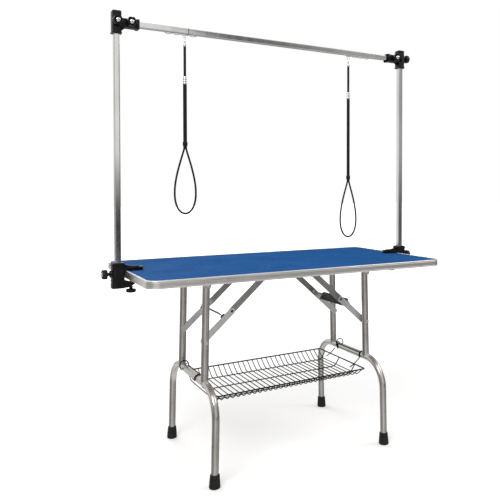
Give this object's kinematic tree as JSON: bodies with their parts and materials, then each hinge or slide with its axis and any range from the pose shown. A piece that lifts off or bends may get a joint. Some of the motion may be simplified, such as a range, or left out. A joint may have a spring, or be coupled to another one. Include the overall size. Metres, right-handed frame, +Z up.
{
  "type": "grooming table",
  "caption": "Folding pet grooming table with ribbed mat, metal edge, two folding leg frames, under-table wire tray and a clamped overhead bar with two nooses.",
  "frame": {"origin": "on the floor, under the middle of the table top", "axes": "+X along the table length, +Y from the front edge to the back edge, +Z up"},
  "size_m": [1.3356, 0.61, 1.612],
  "materials": {
    "board": "raw plywood underside",
    "mat": "ribbed non-slip blue rubber",
    "trim": "satin extruded",
    "leg_steel": "satin plated steel tube",
    "link_steel": "plated flat bar",
    "bracket_steel": "zinc plated",
    "foot_rubber": "matt black",
    "wire": "black coated wire",
    "chrome": "bright",
    "cord": "braided nylon",
    "tie_steel": "black painted",
    "black_plastic": "moulded black nylon"
  },
  "bodies": {
    "table": {"board": "board", "top_mat": "mat", "edge_trim": "trim", "left_hinge_bracket": "bracket_steel", "right_hinge_bracket": "bracket_steel", "left_hinge_rod": "bracket_steel", "right_hinge_rod": "bracket_steel", "left_brace_bracket": "bracket_steel", "right_brace_bracket": "bracket_steel", "left_clamp": "black_plastic", "right_clamp": "black_plastic"},
    "left_leg": {"left_front_post": "leg_steel", "left_back_post": "leg_steel", "left_foot_tube": "leg_steel", "left_front_foot_cap": "foot_rubber", "left_back_foot_cap": "foot_rubber", "left_front_brace_bolt": "bracket_steel", "left_back_brace_bolt": "bracket_steel", "left_tray_hanger": "wire"},
    "left_upper_brace": {"left_front_upper_link": "link_steel", "left_back_upper_link": "link_steel"},
    "left_lower_brace": {"left_front_lower_link": "link_steel", "left_back_lower_link": "link_steel", "left_tie_bar": "tie_steel"},
    "right_leg": {"right_front_post": "leg_steel", "right_back_post": "leg_steel", "right_foot_tube": "leg_steel", "right_front_foot_cap": "foot_rubber", "right_back_foot_cap": "foot_rubber", "right_front_brace_bolt": "bracket_steel", "right_back_brace_bolt": "bracket_steel", "right_tray_hanger": "wire"},
    "right_upper_brace": {"right_front_upper_link": "link_steel", "right_back_upper_link": "link_steel"},
    "right_lower_brace": {"right_front_lower_link": "link_steel", "right_back_lower_link": "link_steel", "right_tie_bar": "tie_steel"},
    "tray": {"tray_basket": "wire"},
    "gantry": {"left_arm_post": "chrome", "right_arm_post": "chrome", "overhead_bar": "chrome", "left_corner_socket": "black_plastic", "right_corner_socket": "black_plastic"},
    "left_post_knob": {"left_post_knob": "black_plastic"},
    "left_bar_knob": {"left_bar_knob": "black_plastic"},
    "right_bar_knob": {"right_bar_knob": "black_plastic"},
    "right_post_knob": {"right_post_knob": "black_plastic"},
    "left_clamp_post_knob": {"left_clamp_post_knob": "black_plastic"},
    "right_clamp_post_knob": {"right_clamp_post_knob": "black_plastic"},
    "left_clamp_screw": {"left_clamp_screw": "bracket_steel"},
    "left_clamp_screw_knob": {"left_clamp_screw_knob": "black_plastic"},
    "left_noose": {"left_snap_hook": "chrome", "left_noose_cord": "cord"},
    "left_noose_slider": {"left_noose_slider": "black_plastic"},
    "right_clamp_screw": {"right_clamp_screw": "bracket_steel"},
    "right_clamp_screw_knob": {"right_clamp_screw_knob": "black_plastic"},
    "right_noose": {"right_snap_hook": "chrome", "right_noose_cord": "cord"},
    "right_noose_slider": {"right_noose_slider": "black_plastic"}
  },
  "joints": [
    {"name": "left_leg_fold", "type": "hinge", "parent": "table", "child": "left_leg", "pos_m": [-0.337, 0, 0.67], "axis": [0, -1, 0], "range_deg": [0, 91.27]},
    {"name": "left_upper_brace_fold", "type": "hinge", "parent": "table", "child": "left_upper_brace", "pos_m": [-0.11, 0, 0.67], "axis": [0, -1, 0], "range_deg": [-45, 1]},
    {"name": "left_knee_fold", "type": "hinge", "parent": "left_upper_brace", "child": "left_lower_brace", "pos_m": [-0.23401, 0, 0.56023], "axis": [0, -1, 0], "range_deg": [-1, 182]},
    {"name": "right_leg_fold", "type": "hinge", "parent": "table", "child": "right_leg", "pos_m": [0.337, 0, 0.67], "axis": [0, 1, 0], "range_deg": [0, 85.3]},
    {"name": "right_upper_brace_fold", "type": "hinge", "parent": "table", "child": "right_upper_brace", "pos_m": [0.11, 0, 0.67], "axis": [0, 1, 0], "range_deg": [-45, 1]},
    {"name": "right_knee_fold", "type": "hinge", "parent": "right_upper_brace", "child": "right_lower_brace", "pos_m": [0.23401, 0, 0.56023], "axis": [0, 1, 0], "range_deg": [-1, 182]},
    {"name": "tray_pull_out", "type": "slide", "parent": "table", "child": "tray", "axis": [0, -1, 0], "range_m": [0, 0.6]},
    {"name": "gantry_height", "type": "slide", "parent": "table", "child": "gantry", "axis": [0, 0, 1], "range_m": [-0.07, 0.04]},
    {"name": "left_post_knob_spin", "type": "hinge", "parent": "gantry", "child": "left_post_knob", "pos_m": [-0.612, -0.0155, 1.575], "axis": [0, -1, 0], "continuous": true},
    {"name": "left_bar_knob_spin", "type": "hinge", "parent": "gantry", "child": "left_bar_knob", "pos_m": [-0.566, -0.0155, 1.575], "axis": [0, -1, 0], "continuous": true},
    {"name": "right_bar_knob_spin", "type": "hinge", "parent": "gantry", "child": "right_bar_knob", "pos_m": [0.576, -0.0155, 1.575], "axis": [0, -1, 0], "continuous": true},
    {"name": "right_post_knob_spin", "type": "hinge", "parent": "gantry", "child": "right_post_knob", "pos_m": [0.6275, 0, 1.579], "axis": [1, 0, 0], "continuous": true},
    {"name": "left_clamp_post_knob_spin", "type": "hinge", "parent": "table", "child": "left_clamp_post_knob", "pos_m": [-0.6345, 0, 0.7095], "axis": [-1, 0, 0], "continuous": true},
    {"name": "right_clamp_post_knob_spin", "type": "hinge", "parent": "table", "child": "right_clamp_post_knob", "pos_m": [0.6345, 0, 0.7095], "axis": [1, 0, 0], "continuous": true},
    {"name": "left_clamp_screw_travel", "type": "slide", "parent": "table", "child": "left_clamp_screw", "axis": [0, 0, 1], "range_m": [-0.008, 0]},
    {"name": "left_clamp_screw_spin", "type": "hinge", "parent": "left_clamp_screw", "child": "left_clamp_screw_knob", "pos_m": [-0.5675, 0, 0.666], "axis": [0, 0, 1], "continuous": true},
    {"name": "right_clamp_screw_travel", "type": "slide", "parent": "table", "child": "right_clamp_screw", "axis": [0, 0, 1], "range_m": [-0.008, 0]},
    {"name": "right_clamp_screw_spin", "type": "hinge", "parent": "right_clamp_screw", "child": "right_clamp_screw_knob", "pos_m": [0.5675, 0, 0.666], "axis": [0, 0, 1], "continuous": true},
    {"name": "left_noose_swing", "type": "hinge", "parent": "gantry", "child": "left_noose", "pos_m": [-0.37, 0, 1.55645], "axis": [0, 1, 0], "range_deg": [-20, 15]},
    {"name": "right_noose_swing", "type": "hinge", "parent": "gantry", "child": "right_noose", "pos_m": [0.34, 0, 1.55645], "axis": [0, 1, 0], "range_deg": [-12, 22]},
    {"name": "left_noose_slide", "type": "slide", "parent": "left_noose", "child": "left_noose_slider", "axis": [0, 0, 1], "range_m": [0, 0.12]},
    {"name": "right_noose_slide", "type": "slide", "parent": "right_noose", "child": "right_noose_slider", "axis": [0, 0, 1], "range_m": [0, 0.12]}
  ],
  "couplings": [
    {"joint": "left_upper_brace_fold", "follows": "left_leg_fold", "ratio": -0.45484},
    {"joint": "left_knee_fold", "follows": "left_leg_fold", "ratio": 1.9722},
    {"joint": "right_upper_brace_fold", "follows": "right_leg_fold", "ratio": -0.47355},
    {"joint": "right_knee_fold", "follows": "right_leg_fold", "ratio": 2.0123}
  ]
}
